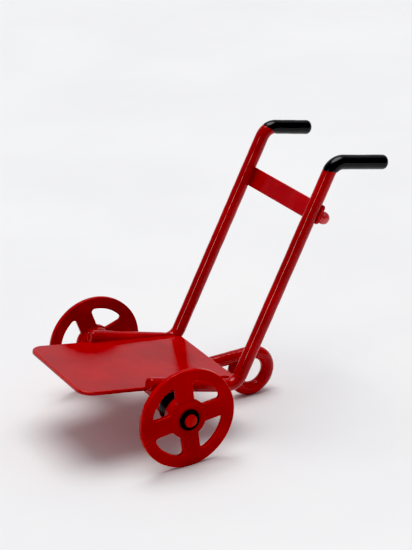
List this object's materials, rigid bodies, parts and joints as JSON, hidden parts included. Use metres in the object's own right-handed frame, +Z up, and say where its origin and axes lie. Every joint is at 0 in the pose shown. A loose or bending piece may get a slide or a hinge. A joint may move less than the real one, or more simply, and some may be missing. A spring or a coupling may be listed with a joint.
{
  "type": "miniature hand truck",
  "caption": "Dollhouse-scale hand truck: bent-rod frame with dipped grips, toe plate, cross strap, spoked wheels on an axle and a round rest leg.",
  "frame": {"origin": "on the floor, under the middle of the overall width and length, with the truck standing on its wheels and rest leg", "axes": "+Z up, +Y towards the handles, -Y towards the toe plate, X along the axle"},
  "size_m": [0.0546, 0.0846, 0.0656],
  "materials": {
    "red_enamel": "gloss red enamel over metal",
    "grip_coating": "black dipped vinyl, glossy",
    "black_collar": "black moulded plastic, satin"
  },
  "bodies": {
    "frame": {"right_side_rod": "red_enamel", "left_side_rod": "red_enamel", "right_grip": "grip_coating", "left_grip": "grip_coating", "cross_strap": "red_enamel", "right_strap_stud": "red_enamel", "left_strap_stud": "red_enamel", "toe_plate": "red_enamel", "rest_leg": "red_enamel", "axle": "red_enamel", "right_axle_lug": "red_enamel", "left_axle_lug": "red_enamel", "right_spacer": "black_collar", "left_spacer": "black_collar", "right_retainer": "black_collar", "left_retainer": "black_collar"},
    "right_wheel": {"right_wheel_disc": "red_enamel", "right_wheel_hub": "red_enamel"},
    "left_wheel": {"left_wheel_disc": "red_enamel", "left_wheel_hub": "red_enamel"}
  },
  "joints": [
    {"name": "right_wheel_spin", "type": "hinge", "parent": "frame", "child": "right_wheel", "pos_m": [0.0239, -0.01984, 0.0125], "axis": [1, 0, 0], "continuous": true},
    {"name": "left_wheel_spin", "type": "hinge", "parent": "frame", "child": "left_wheel", "pos_m": [-0.0239, -0.01984, 0.0125], "axis": [1, 0, 0], "continuous": true}
  ]
}
